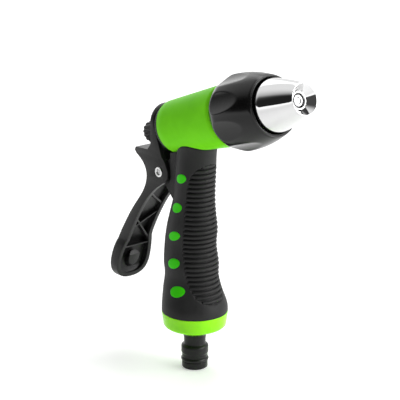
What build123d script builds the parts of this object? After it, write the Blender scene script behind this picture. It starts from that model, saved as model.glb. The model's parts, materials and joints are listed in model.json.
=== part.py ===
from build123d import *
import os
from math import cos, pi, radians, sin, sqrt

# Pistol-grip hose spray nozzle with a rear lever, in millimetres.
# Z is the axis of the handle and of the hose plug, with the origin at the plug's nose face.
# X points to the front, where the water leaves. The barrel's own axis rises towards the front.
# Barrel parts are turned about their own Z, where z is the distance along the barrel axis,
# counted from the point in which that axis crosses the handle axis.

# ---- driving dimensions -------------------------------------------------------------------
axis_height = 147.9            # where the barrel axis crosses the handle axis
barrel_tilt = 18.4             # degrees that the barrel rises above the horizontal
running_gap = 0.05             # radial clearance of a shaft or thread in its hole
seal_gap = 0.08                # radial clearance of an O-ring in its bore
face_gap = 0.3                 # clearance between faces that move past each other

barrel_rear = -16.9            # rear face of the casting, along the barrel axis
barrel_rear_radius = 15.4
barrel_step = 34.9             # shoulder in front of which the spray collar turns
barrel_step_radius = 17.75
rim_round = 1.2
journal_radius = 16.0
journal_length = 11.6
chamber_radius = 12.0          # water chamber behind the valve seat
chamber_front = 18.0
carrier_radius = 10.95         # nose tube, threaded into the casting
carrier_front = 64.0
carrier_bore = 7.5

cap_flange_radius = 14.2
cap_flange = 2.4
cap_plug_length = 11.0
spindle_radius = 2.5
spindle_tail_radius = 2.0
needle_radius = 1.6
needle_head_radius = 3.1
needle_head_face = 87.0
valve_radius = 6.5
valve_washer = 2.3
valve_disc = 3.0
lock_nut = 3.0
lock_nut_across = 9.0
seat_hole_radius = 4.0
seat_thickness = 3.0
spring_radius = 5.2
spring_wire = 1.2
spring_turns = 6
spring_washer_thickness = 1.0

collar_rear_radius = 18.4
collar_max_radius = 21.35
collar_max_at = 43.0
collar_rim = 68.3
collar_rim_radius = 16.6
collar_mouth_radius = 15.6
collar_bore = 16.25
collar_land = 9.1              # length of the rear land that runs on the journal
scallops = 8
scallop_radius = 20.0
scallop_floor_radius = 19.4    # the scallops' floors, as a distance from the barrel axis
tip_keys = 3
tip_key_width = 4.0
tip_key_depth = 1.5
ring_radius = 17.0
ring_thickness = 1.1

tip_lip = 92.0
tip_lip_radius = 8.96
tip_base_radius = 14.7
tip_base = 70.5
tip_rear = 52.0
tip_bore = 11.2
throat_radius = 3.8
throat_length = 3.3
funnel_depth = 4.7
funnel_radius = 8.3

knob_front = -31.5
knob_length = 9.5
knob_radius = 6.4
knob_flutes = 14
knob_flute_radius = 0.9
insert_radius = 3.6

pivot_x = -20.6
pivot_z = 116.3
pin_radius = 2.0
pin_head_radius = 3.05
pin_head = 0.5
trigger_half_width = 9.5
trigger_wall = 2.5
trigger_end_half_width = 12.6
tongue_half_width = 10.2
tongue_top = 154.6
tongue_rear = -27.3
trigger_swing = 18.0           # degrees of lever travel
lug_radius = 4.6
lug_drop = 11.0                # how far the lug's root reaches below the pivot
shroud_rear = -12.2            # the cover's two cheeks hide the lug in front of the lever
shroud_half_width = 8.0
neck_centre = 1.8
neck_half_x = 10.1
neck_half_y = 9.0

handle_tube_radius = 7.4
handle_bore = 4.8
foot_radius = 13.0
foot_top = 44.0
foot_bottom = 26.0
socket_depth = 12.0
grip_bottom = 35.4
grip_top = 140.0
cover_thickness = 2.4
core_top = 125.6

base_ring_bottom = 22.2
base_ring_corner = 27.0
base_ring_corner_radius = 18.2
base_ring_hole = 8.6

plug_shank_radius = 8.25
plug_top = 36.0
plug_bore = 4.6
plug_collar_radius = 8.0
plug_groove_radius = 6.4
plug_nose_radius = 7.6
o_ring_centre = 5.4
o_ring_wire = 1.2
o_ring_outer_radius = 8.15

# Sections of the hand grip: height, centre in X, half size in X, half size in Y.
grip_sections = [
    (34.0, 0.0, 19.45, 19.45),
    (40.0, -0.2, 19.5, 18.9),
    (49.0, -2.0, 18.1, 16.5),
    (57.0, -2.7, 17.0, 14.8),
    (65.0, -3.1, 17.3, 15.0),
    (76.0, -3.7, 16.4, 14.0),
    (86.0, -2.3, 15.9, 13.8),
    (95.0, -1.5, 14.3, 12.5),
    (105.0, -0.3, 12.7, 11.4),
    (119.0, 0.8, 12.3, 11.2),
    (132.5, 1.8, 12.1, 11.0),
    (140.5, 3.0, 12.7, 12.0),
]
# Oval studs that show through each side of the cover: X, height, half length, half height, rise.
grip_studs = [
    (0.8, 117.2, 4.8, 3.0, 20),
    (-2.2, 99.5, 5.1, 3.2, 17),
    (-2.3, 83.0, 5.6, 3.0, 19),
    (-1.8, 66.7, 5.5, 3.4, 19),
    (2.2, 50.7, 5.7, 3.7, 12),
]
# Rear edge of the lever's side view, from the thumb horn down to the bowl at its end.
horn = [(-27.3, 131.5), (-30.5, 127.9), (-41.2, 127.4), (-42.6, 125.4), (-41.0, 123.4)]
lever_rear = [(-41.0, 123.4), (-36.1, 120.2), (-33.1, 116.5), (-32.0, 112.4), (-33.0, 106.8),
              (-42.9, 92.4), (-53.3, 77.7), (-60.3, 64.7), (-63.3, 52.7), (-63.9, 46.0), (-62.6, 39.5)]
# Front edge of the side walls, from the bowl up to the barrel.
lever_front = [(-59.6, 39.5), (-57.9, 48.0), (-53.6, 61.5), (-43.0, 82.4), (-28.6, 101.4), (-14.9, 111.2)]
cheek_front = [(-12.9, 114.0), (-12.9, 118.0), (-15.4, 122.7), (-18.1, 126.0), (-19.8, 132.1),
               (-24.0, 142.5)]
# Ribs across the lever's channel: height at the middle, slope in degrees towards +Y.
cross_ribs = [(61.7, 0), (74.2, -47), (79.9, 32), (95.7, -36)]
rib_thickness = 0.9
rib_recess = 0.8
bowl_at = 53.0                 # height of the widest part of the bowl
bowl_boss = (-60.0, 51.5)
bowl_boss_radius = 4.0

# ---- derived sizes ------------------------------------------------------------------------
tilt = radians(barrel_tilt)
barrel_plane = Plane(
    origin=(0, 0, axis_height),
    x_dir=(-sin(tilt), 0, cos(tilt)),
    z_dir=(cos(tilt), 0, sin(tilt)),
)
journal_front = barrel_step + journal_length
seat_rear = chamber_front + 1.6
washer_front = seat_rear - face_gap
washer_rear = washer_front - valve_washer
disc_rear = washer_rear - valve_disc
nut_rear = disc_rear - lock_nut
cap_rear = barrel_rear - cap_flange
cap_front = barrel_rear + cap_plug_length
spring_rear = cap_front + spring_washer_thickness
ring_rear = barrel_step + face_gap + collar_land + face_gap
lug_half_width = trigger_half_width - trigger_wall - face_gap
pivot_drop = pivot_x * sin(tilt) - (pivot_z - axis_height) * cos(tilt)
pivot_along = pivot_x * cos(tilt) + (pivot_z - axis_height) * sin(tilt)
rocker_at = pivot_along + pivot_drop * sin(radians(trigger_swing / 2))
rocker_radius = rocker_at - knob_front - face_gap


def turned(outline):
    """A solid turned about Z from (radius, height) points."""
    return revolve(make_face(Plane.XZ * Polyline(*outline, close=True)), Axis.Z)


def tube(outer, inner, bottom, top):
    """A plain ring between two heights."""
    return turned([(inner, bottom), (outer, bottom), (outer, top), (inner, top)])


def o_ring(major, wire, height):
    """A torus about Z."""
    return Pos(0, 0, height) * Torus(major, wire)


def on_barrel(solid):
    """Moves a solid from the barrel's own frame to the part's frame."""
    return barrel_plane.location * solid


def side_slab(outline, half_width):
    """A flat plate parallel to XZ, centred on Y=0."""
    return extrude(make_face(Plane.XZ * outline), amount=half_width, both=True)


def grip_shape(inset, bottom, top):
    """The lofted hand grip, moved inwards by inset and cut off level at both ends."""
    rings = []
    for height, centre, half_x, half_y in grip_sections:
        ring = Pos(centre, 0, height) * Ellipse(half_x - inset, half_y - inset)
        rings.append(ring)
    block = Pos(0, 0, (bottom + top) / 2) * Box(80, 80, top - bottom)
    return loft(rings) & block


def neck_block(gap, bottom, top):
    """The casting's oval neck under the barrel, grown by gap all round."""
    oval = Ellipse(neck_half_x + gap, neck_half_y + gap)
    return Pos(neck_centre, 0, bottom) * extrude(oval, amount=top - bottom)


def lug_shape(gap):
    """The casting's rear lug that carries the lever's pivot, grown by gap all round."""
    reach = lug_radius + gap
    low = pivot_z - lug_drop - gap
    web = side_slab(Polyline(
        (pivot_x, pivot_z + reach), (-10, 127 + gap), (0, 127 + gap), (0, low), (-9.5, low),
        (pivot_x - 1.5, pivot_z - reach + 0.2), close=True), lug_half_width + gap)
    return web + Pos(pivot_x, 0, pivot_z) * Rot(90, 0, 0) * Cylinder(reach, 2 * (lug_half_width + gap))


# ---- body casting -------------------------------------------------------------------------
def make_body_casting():
    barrel = turned([
        (0, barrel_rear),
        (barrel_rear_radius - rim_round, barrel_rear),
        (barrel_rear_radius, barrel_rear + rim_round),
        (barrel_step_radius, barrel_step),
        (journal_radius, barrel_step),
        (journal_radius, journal_front),
        (0, journal_front),
    ])
    barrel = on_barrel(barrel)
    neck = neck_block(0, core_top, axis_height)
    handle = Pos(0, 0, foot_bottom) * Cylinder(
        handle_tube_radius, axis_height - foot_bottom, align=(Align.CENTER, Align.CENTER, Align.MIN))
    foot = tube(foot_radius, 0, foot_bottom, foot_top)
    casting = barrel + neck + handle + foot + lug_shape(0)
    # Water way: chamber, seat pocket, carrier thread, handle bore and hose socket.
    cavity = turned([
        (0, barrel_rear - 1),
        (chamber_radius, barrel_rear - 1),
        (chamber_radius, chamber_front),
        (carrier_radius + running_gap, chamber_front),
        (carrier_radius + running_gap, journal_front + 1),
        (0, journal_front + 1),
    ])
    casting -= on_barrel(cavity)
    bottom = foot_bottom - 1
    casting -= Pos(0, 0, bottom) * Cylinder(
        handle_bore, axis_height - bottom, align=(Align.CENTER, Align.CENTER, Align.MIN))
    casting -= tube(plug_shank_radius + running_gap, 0, bottom, foot_bottom + socket_depth)
    casting -= on_barrel(tube(journal_radius + 1, journal_radius - 1, ring_rear, ring_rear + ring_thickness))
    casting -= Pos(pivot_x, 0, pivot_z) * Rot(90, 0, 0) * Cylinder(pin_radius + running_gap, 60)
    return casting


# ---- rear cap, seals and spring -----------------------------------------------------------
cap_plug_radius = chamber_radius - running_gap
cap_groove_rear = barrel_rear + 1.6
cap_groove_width = 1.6
cap_wire = 0.7
spindle_wire = 0.95
packing_depth = 2.4


def make_rear_cap():
    outline = [
        (0, cap_rear),
        (cap_flange_radius - 1.0, cap_rear),
        (cap_flange_radius, cap_rear + 1.0),
        (cap_flange_radius, barrel_rear),
        (cap_plug_radius, barrel_rear),
        (cap_plug_radius, cap_groove_rear),
        (cap_plug_radius - 1.3, cap_groove_rear),
        (cap_plug_radius - 1.3, cap_groove_rear + cap_groove_width),
        (cap_plug_radius, cap_groove_rear + cap_groove_width),
        (cap_plug_radius, cap_front),
        (0, cap_front),
    ]
    cap = turned(outline)
    cap -= tube(spindle_radius + running_gap, 0, cap_rear - 1, cap_front + 1)
    pocket = spindle_radius + 2 * spindle_wire + 0.2
    cap -= tube(pocket, 0, cap_front - packing_depth, cap_front + 1)
    return on_barrel(cap)


def make_return_spring():
    front = nut_rear - spring_wire / 2 - running_gap
    rear = spring_rear + spring_wire / 2 + running_gap
    length = front - rear
    coil = Helix(length / spring_turns, length, spring_radius)
    section = Plane(coil @ 0, z_dir=coil % 0) * Circle(spring_wire / 2)
    return on_barrel(Pos(0, 0, rear) * sweep(section, path=coil))


# ---- spindle and valve --------------------------------------------------------------------
def make_spindle():
    return on_barrel(turned([
        (0, knob_front - knob_length + 1.5),
        (spindle_tail_radius, knob_front - knob_length + 1.5),
        (spindle_tail_radius, knob_front - 0.5),
        (spindle_radius, knob_front + 0.5),
        (spindle_radius, washer_front + 0.8),
        (needle_radius, washer_front + 2.0),
        (needle_radius, needle_head_face - 3.4),
        (0, needle_head_face - 3.4),
    ]))


def make_needle_head():
    head = turned([
        (0, needle_head_face - 9),
        (needle_radius + 0.6, needle_head_face - 9),
        (needle_head_radius, needle_head_face - 3),
        (needle_head_radius, needle_head_face - 0.3),
        (needle_head_radius - 0.3, needle_head_face),
        (needle_head_radius - 1.1, needle_head_face),
        (needle_head_radius - 1.5, needle_head_face - 0.5),
        (0, needle_head_face - 0.5),
    ])
    head -= tube(needle_radius + running_gap, 0, needle_head_face - 10, needle_head_face - 3.3)
    return on_barrel(head)


def make_lock_nut():
    nut = extrude(RegularPolygon(lock_nut_across / sqrt(3), 6), amount=lock_nut)
    nut -= Cylinder(spindle_radius + running_gap, 20)
    return on_barrel(Pos(0, 0, nut_rear) * nut)


# ---- nose: seat, carrier, collar, tip -----------------------------------------------------
seat_front = seat_rear + seat_thickness
carrier_rear = seat_front + running_gap
carrier_nose_radius = 10.4
carrier_flange = 48.5
tip_ring_at = 60.0
tip_ring_wire = 0.95
carrier_ring_at = 44.0
carrier_ring_wire = 0.7


def make_carrier():
    groove = tip_bore - seal_gap - 2 * tip_ring_wire - running_gap
    body_groove = carrier_radius + running_gap - seal_gap - 2 * carrier_ring_wire - running_gap
    return on_barrel(turned([
        (carrier_bore, carrier_rear),
        (carrier_radius, carrier_rear),
        (carrier_radius, carrier_ring_at - carrier_ring_wire - running_gap),
        (body_groove, carrier_ring_at - carrier_ring_wire - running_gap),
        (body_groove, carrier_ring_at + carrier_ring_wire + running_gap),
        (carrier_radius, carrier_ring_at + carrier_ring_wire + running_gap),
        (carrier_radius, journal_front + 0.1),
        (journal_radius - 1.6, journal_front + 0.1),
        (journal_radius - 1.6, carrier_flange),
        (carrier_nose_radius, carrier_flange),
        (carrier_nose_radius, tip_ring_at - tip_ring_wire - 0.1),
        (groove, tip_ring_at - tip_ring_wire - 0.1),
        (groove, tip_ring_at + tip_ring_wire + 0.1),
        (carrier_nose_radius, tip_ring_at + tip_ring_wire + 0.1),
        (carrier_nose_radius, carrier_front - 0.8),
        (carrier_nose_radius - 0.8, carrier_front),
        (carrier_bore, carrier_front),
    ]))


def dome(share):
    """Collar radius between its widest ring (share 0) and its rim (share 1)."""
    return collar_max_radius - (collar_max_radius - collar_rim_radius) * share ** 2


def make_collar():
    rear = barrel_step + face_gap
    land_front = rear + collar_land
    outline = [
        (journal_radius + running_gap, rear),
    ]
    steps = 10
    for step in range(steps):
        share = step / steps
        rise = (collar_max_radius - collar_rear_radius) * sin(pi / 2 * share)
        outline.append((collar_rear_radius + rise, rear + share * (collar_max_at - rear)))
    for step in range(steps + 1):
        share = step / steps
        outline.append((dome(share), collar_max_at + share * (collar_rim - 0.6 - collar_max_at)))
    outline += [
        (collar_rim_radius - 0.5, collar_rim),
        (collar_mouth_radius, collar_rim),
        (collar_mouth_radius, collar_rim - 2.3),
        (collar_bore, collar_rim - 2.3),
        (collar_bore, ring_rear + ring_thickness + face_gap),
        (ring_radius + face_gap, ring_rear + ring_thickness + face_gap),
        (ring_radius + face_gap, land_front),
        (journal_radius + running_gap, land_front),
    ]
    collar = turned(outline)
    # Straight troughs run out of the dome at both ends.
    cutter = Pos(scallop_floor_radius + scallop_radius, 0, collar_max_at) * Cylinder(scallop_radius, 60)
    for index in range(scallops):
        collar -= Rot(0, 0, 360 / scallops * (index + 0.5)) * cutter
    slot = Box(2 * tip_key_depth, tip_key_width + 2 * face_gap, collar_rim - 3.5 - land_front - 3,
               align=(Align.CENTER, Align.CENTER, Align.MIN))
    for index in range(tip_keys):
        turn = Rot(0, 0, 360 / tip_keys * index)
        collar -= turn * Pos(collar_bore, 0, land_front + 3) * slot
    return on_barrel(collar)


def make_tip():
    bulge = 0.25
    outline = [
        (tip_bore, tip_rear),
        (tip_base_radius, tip_rear),
        (tip_base_radius, tip_base),
    ]
    steps = 6
    for step in range(1, steps):
        share = step / steps
        radius = tip_base_radius + share * (tip_lip_radius - tip_base_radius)
        outline.append((radius + bulge * sin(pi * share), tip_base + share * (tip_lip - 0.4 - tip_base)))
    funnel_bottom = tip_lip - funnel_depth
    outline += [
        (tip_lip_radius, tip_lip - 0.4),
        (tip_lip_radius - 0.3, tip_lip),
        (funnel_radius, tip_lip),
        (throat_radius + 0.5, funnel_bottom),
        (throat_radius, funnel_bottom - 0.1),
        (throat_radius, funnel_bottom - throat_length),
        (tip_bore, carrier_front + 8.0),
    ]
    tip = turned(outline)
    key = Box(2.4, tip_key_width, 8.0, align=(Align.CENTER, Align.CENTER, Align.MIN))
    reach = collar_bore + tip_key_depth - face_gap - 1.2
    bridge = Box(2.8, tip_key_width, 8.0, align=(Align.CENTER, Align.CENTER, Align.MIN))
    for index in range(tip_keys):
        turn = Rot(0, 0, 360 / tip_keys * index)
        tip += turn * Pos(reach, 0, tip_rear) * key
        tip += turn * Pos(tip_base_radius, 0, tip_rear) * bridge
    return on_barrel(tip)


def make_retaining_ring():
    ring = tube(ring_radius, journal_radius - 1 + running_gap, ring_rear + 0.05, ring_rear + ring_thickness - 0.05)
    ring -= Pos(-ring_radius, 0, ring_rear) * Box(8, 5, 6)
    return on_barrel(ring)


# ---- flow knob ----------------------------------------------------------------------------
def make_knob():
    rear = knob_front - knob_length
    knob = turned([
        (0, rear),
        (knob_radius - 0.8, rear),
        (knob_radius - 0.2, rear + 0.3),
        (knob_radius, rear + 0.9),
        (knob_radius, knob_front - 0.4),
        (knob_radius - 0.4, knob_front),
        (0, knob_front),
    ])
    flute = Pos(knob_radius + 0.2, 0, rear - 1) * Cylinder(
        knob_flute_radius, knob_length - 0.2, align=(Align.CENTER, Align.CENTER, Align.MIN))
    for index in range(knob_flutes):
        knob -= Rot(0, 0, 360 / knob_flutes * index) * flute
    knob -= tube(insert_radius, 0, rear + 1.4, knob_front + 1)
    return on_barrel(knob)


# ---- trigger ------------------------------------------------------------------------------
def shifted(points, distance):
    """Moves an open line of points sideways, to the left of its direction."""
    moved = []
    for index, (x, z) in enumerate(points):
        x0, z0 = points[max(index - 1, 0)]
        x1, z1 = points[min(index + 1, len(points) - 1)]
        length = sqrt((x1 - x0) ** 2 + (z1 - z0) ** 2)
        moved.append((x - (z1 - z0) / length * distance, z + (x1 - x0) / length * distance))
    return moved


def front_view(inset):
    """The lever seen from the front, as a slab along X: wide bowl, parallel cheeks, round tongue."""
    end = trigger_end_half_width - inset
    cheek = trigger_half_width - inset
    top = tongue_half_width - inset
    right = Spline((0, bowl_at - end), (end, bowl_at), (cheek + 1.0, 65), (cheek, 80),
                   tangents=[(1, 0), (0, 1)])
    tongue = Polyline((cheek, 80), (cheek, 124), (top, 131), (top, tongue_top - top))
    crown = CenterArc((0, tongue_top - top), top, 0, 90)
    half = make_face(Plane.YZ * (right + tongue + crown + Line((0, tongue_top), (0, bowl_at - end))))
    whole = extrude(half, amount=100, both=True)
    return whole + mirror(whole, Plane.XZ)


def make_trigger():
    rear = Polyline((tongue_rear, tongue_top + 1), *horn) + Spline(*lever_rear)
    bottom = Line(lever_rear[-1], lever_front[0])
    front = Spline(*lever_front) + Polyline(lever_front[-1], *cheek_front)
    web_front = tongue_rear + trigger_wall + 0.5
    top = Polyline(cheek_front[-1], (web_front, cheek_front[-1][1]),
                   (web_front, tongue_top + 1), (tongue_rear, tongue_top + 1))
    outer = side_slab(rear + bottom + front + top, 30)
    lever = outer & front_view(0)
    # The channel between the side walls is open towards the grip.
    inner_rear = shifted(lever_rear[3:], trigger_wall)
    inner_rear = [(tongue_rear + trigger_wall + 0.5, 150), (tongue_rear + trigger_wall + 0.5, 124)] + inner_rear
    channel = Polyline(*inner_rear, (20, inner_rear[-1][1]), (20, 150), close=True)
    lever -= side_slab(channel, 30) & front_view(trigger_wall)
    # Cross ribs brace the channel, and a round boss stiffens its bowl.
    inside = outer & Pos(-rib_recess, 0, 0) * outer & front_view(trigger_wall / 2)
    for height, slope in cross_ribs:
        bar = Pos(tongue_rear, 0, height) * Rot(slope, 0, 0) * Box(120, 40, rib_thickness)
        lever += bar & inside
    boss_x, boss_z = bowl_boss
    lever += Pos(boss_x, 0, boss_z) * Rot(0, 60, 0) * Cylinder(bowl_boss_radius, 11) & outer
    # Rocker on the tongue that the flow knob bears on, with the slot for the spindle.
    rocker_x = rocker_at * cos(tilt)
    rocker_z = axis_height + rocker_at * sin(tilt)
    rocker = Pos(rocker_x, 0, rocker_z) * Rot(90, 0, 0) * Cylinder(rocker_radius, 13)
    rocker &= Pos(tongue_rear - 10, 0, rocker_z) * Box(2 * (10 + trigger_wall), 40, 40)
    lever += rocker
    slot = Pos(tongue_rear, 0, rocker_z) * Rot(0, 90, 0) * SlotCenterToCenter(4.0, 2 * spindle_radius + 1.2)
    lever -= extrude(slot, amount=12, both=True)
    lever -= Pos(pivot_x, 0, pivot_z) * Rot(90, 0, 0) * Cylinder(pin_radius + running_gap, 60)
    return lever


def make_pivot_pin():
    half = trigger_half_width + running_gap
    pin = turned([
        (0, -half - pin_head),
        (pin_head_radius - 0.3, -half - pin_head),
        (pin_head_radius, -half - pin_head + 0.3),
        (pin_head_radius, -half),
        (pin_radius, -half),
        (pin_radius, half),
        (pin_head_radius, half),
        (pin_head_radius, half + pin_head - 0.3),
        (pin_head_radius - 0.3, half + pin_head),
        (0, half + pin_head),
    ])
    dimple = tube(pin_radius - 0.4, 0, half + pin_head - 0.6, half + pin_head + 1)
    pin -= dimple + mirror(dimple, Plane.XY)
    return Pos(pivot_x, 0, pivot_z) * Rot(90, 0, 0) * pin


# ---- handle: core, cover, base ring, plug -------------------------------------------------
def make_core():
    core = grip_shape(cover_thickness, grip_bottom + 0.3, core_top - 0.2)
    core -= Cylinder(handle_tube_radius + running_gap, 400)
    core -= Cylinder(foot_radius + running_gap, 2 * foot_top + 0.2)
    core -= lug_shape(running_gap)
    studs = Part()
    for x, height, half_x, half_z, rise in grip_studs:
        oval = extrude(Ellipse(half_x, half_z), amount=40, both=True)
        studs += Pos(x, 0, height) * Rot(0, -rise, 0) * Rot(90, 0, 0) * oval
    studs &= grip_shape(0, grip_bottom + 1, core_top - 1) - grip_shape(
        cover_thickness + 0.6, grip_bottom + 1, core_top - 1)
    return core + studs


def make_cover():
    cover = grip_shape(0, grip_bottom, grip_top)
    wedge = side_slab(Polyline((-6, 112.5), (-15.5, 110.2), (-19.0, 109.4), (-9.5, 99.5), (-6, 99.5),
                               close=True), lug_half_width)
    cover += wedge
    cover += side_slab(Polyline(
        (-6, 106), (shroud_rear, 106), (shroud_rear, grip_top), (-6, grip_top), close=True), shroud_half_width)
    cover -= grip_shape(cover_thickness - running_gap, grip_bottom - 1, core_top)
    cover -= neck_block(running_gap, core_top, grip_top + 1)
    cover -= on_barrel(turned([
        (0, cap_rear - 1),
        (barrel_rear_radius + running_gap, cap_rear - 1),
        (barrel_rear_radius + running_gap, barrel_rear),
        (barrel_step_radius + running_gap, barrel_step),
        (0, barrel_step),
    ]))
    cover -= Cylinder(handle_tube_radius + running_gap, 400)
    for x, height, half_x, half_z, rise in grip_studs:
        oval = extrude(Ellipse(half_x + running_gap, half_z + running_gap), amount=40, both=True)
        cover -= Pos(x, 0, height) * Rot(0, -rise, 0) * Rot(90, 0, 0) * oval
    cover -= lug_shape(running_gap)
    return cover


def make_base_ring():
    radius = grip_sections[0][2]
    ring = turned([
        (base_ring_hole, base_ring_bottom),
        (base_ring_corner_radius - 1.2, base_ring_corner - 1.0),
        (base_ring_corner_radius, base_ring_corner),
        (radius - 0.6, grip_bottom - 4.5),
        (radius, grip_bottom - 1.0),
        (radius, grip_bottom),
        (foot_radius + running_gap, grip_bottom),
        (foot_radius + running_gap, foot_bottom - running_gap),
        (base_ring_hole, foot_bottom - running_gap),
    ])
    return ring


def make_plug():
    groove_half = o_ring_wire + running_gap
    floor = o_ring_outer_radius - 2 * o_ring_wire - running_gap
    return turned([
        (plug_bore, 0),
        (plug_nose_radius - 0.9, 0),
        (plug_nose_radius - 0.2, 0.4),
        (plug_nose_radius, 1.3),
        (plug_nose_radius, o_ring_centre - groove_half),
        (floor, o_ring_centre - groove_half),
        (floor, o_ring_centre + groove_half),
        (plug_nose_radius, o_ring_centre + groove_half),
        (plug_nose_radius, 8.9),
        (plug_collar_radius - 0.2, 9.4),
        (plug_collar_radius, 9.9),
        (plug_collar_radius, 13.3),
        (plug_collar_radius - 0.5, 14.1),
        (plug_groove_radius, 14.7),
        (plug_groove_radius, 17.1),
        (plug_groove_radius + 0.3, base_ring_bottom - 1.6),
        (plug_shank_radius, base_ring_bottom),
        (plug_shank_radius, plug_top),
        (plug_bore, plug_top),
    ])


def make_seal_washer():
    return tube(plug_shank_radius - 0.1, handle_bore, plug_top, foot_bottom + socket_depth)


parts = {
    "body_casting": make_body_casting(),
    "rear_cap": make_rear_cap(),
    "cap_o_ring": on_barrel(o_ring(
        chamber_radius - seal_gap - cap_wire, cap_wire, cap_groove_rear + cap_groove_width / 2)),
    "spindle_o_ring": on_barrel(o_ring(
        spindle_radius + seal_gap + spindle_wire, spindle_wire, cap_front - spindle_wire - 0.1)),
    "spring_washer": on_barrel(tube(
        spring_radius + spring_wire, spindle_radius + face_gap, cap_front, spring_rear)),
    "return_spring": make_return_spring(),
    "spindle": make_spindle(),
    "needle_head": make_needle_head(),
    "valve_lock_nut": make_lock_nut(),
    "valve_disc": on_barrel(tube(valve_radius, spindle_radius + running_gap, disc_rear, washer_rear)),
    "valve_washer": on_barrel(tube(valve_radius - 0.2, spindle_radius + running_gap, washer_rear, washer_front)),
    "valve_seat": on_barrel(tube(carrier_radius, seat_hole_radius, seat_rear, seat_front)),
    "nozzle_carrier": make_carrier(),
    "carrier_o_ring": on_barrel(o_ring(
        carrier_radius + running_gap - seal_gap - carrier_ring_wire, carrier_ring_wire, carrier_ring_at)),
    "tip_o_ring": on_barrel(o_ring(tip_bore - seal_gap - tip_ring_wire, tip_ring_wire, tip_ring_at)),
    "collar_retaining_ring": make_retaining_ring(),
    "spray_collar": make_collar(),
    "nozzle_tip": make_tip(),
    "flow_knob": make_knob(),
    "knob_insert": on_barrel(tube(
        insert_radius, spindle_tail_radius + running_gap, knob_front - knob_length + 1.5, knob_front - 0.6)),
    "trigger": make_trigger(),
    "pivot_pin": make_pivot_pin(),
    "handle_core": make_core(),
    "grip_cover": make_cover(),
    "base_ring": make_base_ring(),
    "hose_plug": make_plug(),
    "plug_o_ring": o_ring(o_ring_outer_radius - o_ring_wire, o_ring_wire, o_ring_centre),
    "plug_seal_washer": make_seal_washer(),
}

os.makedirs("parts", exist_ok=True)
for name, solid in parts.items():
    export_step(solid, "parts/" + name + ".step")
print("rocker radius", round(rocker_radius, 2), "metres per radian", round(pivot_drop / 1000, 5))
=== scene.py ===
import json
from math import cos, pi, radians, sin, sqrt

import bmesh
import bpy
from mathutils import Matrix, Vector


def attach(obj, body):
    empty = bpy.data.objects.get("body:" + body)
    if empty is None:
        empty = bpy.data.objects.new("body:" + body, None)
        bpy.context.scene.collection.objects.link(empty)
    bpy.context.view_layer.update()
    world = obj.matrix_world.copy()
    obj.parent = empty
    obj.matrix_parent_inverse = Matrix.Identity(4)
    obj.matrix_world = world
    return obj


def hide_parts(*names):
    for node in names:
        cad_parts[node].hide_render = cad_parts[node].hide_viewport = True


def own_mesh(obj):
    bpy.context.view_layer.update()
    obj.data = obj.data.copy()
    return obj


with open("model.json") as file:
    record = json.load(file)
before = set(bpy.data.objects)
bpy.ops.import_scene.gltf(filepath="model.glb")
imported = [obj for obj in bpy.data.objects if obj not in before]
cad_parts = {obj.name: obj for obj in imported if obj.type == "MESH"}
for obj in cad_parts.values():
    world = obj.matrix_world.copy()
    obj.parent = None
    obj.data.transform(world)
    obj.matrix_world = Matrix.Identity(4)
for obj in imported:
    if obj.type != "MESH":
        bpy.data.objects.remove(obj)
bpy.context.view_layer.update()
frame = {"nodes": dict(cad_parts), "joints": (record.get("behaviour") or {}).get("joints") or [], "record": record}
print("frame loaded:", len(frame["nodes"]), "nodes")

mm = 0.001
joints = {joint["name"]: joint for joint in frame["joints"]}
pivot = Vector(joints["trigger_pivot"]["pos_m"])
barrelAxis = Vector(joints["collar_turn"]["axis"]).normalized()
barrelUp = Vector((-barrelAxis.z, 0, barrelAxis.x))
# Turned barrel pieces are drawn about their own Z, with X upwards and Y to the side.
barrelPlace = Matrix.Translation(joints["collar_turn"]["pos_m"]) @ Matrix((
    barrelUp, (0, -1, 0), barrelAxis)).transposed().to_4x4()
handlePlace = Matrix.Identity(4)
pinPlace = Matrix.Translation(pivot) @ Matrix.Rotation(radians(90), 4, "X")


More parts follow.
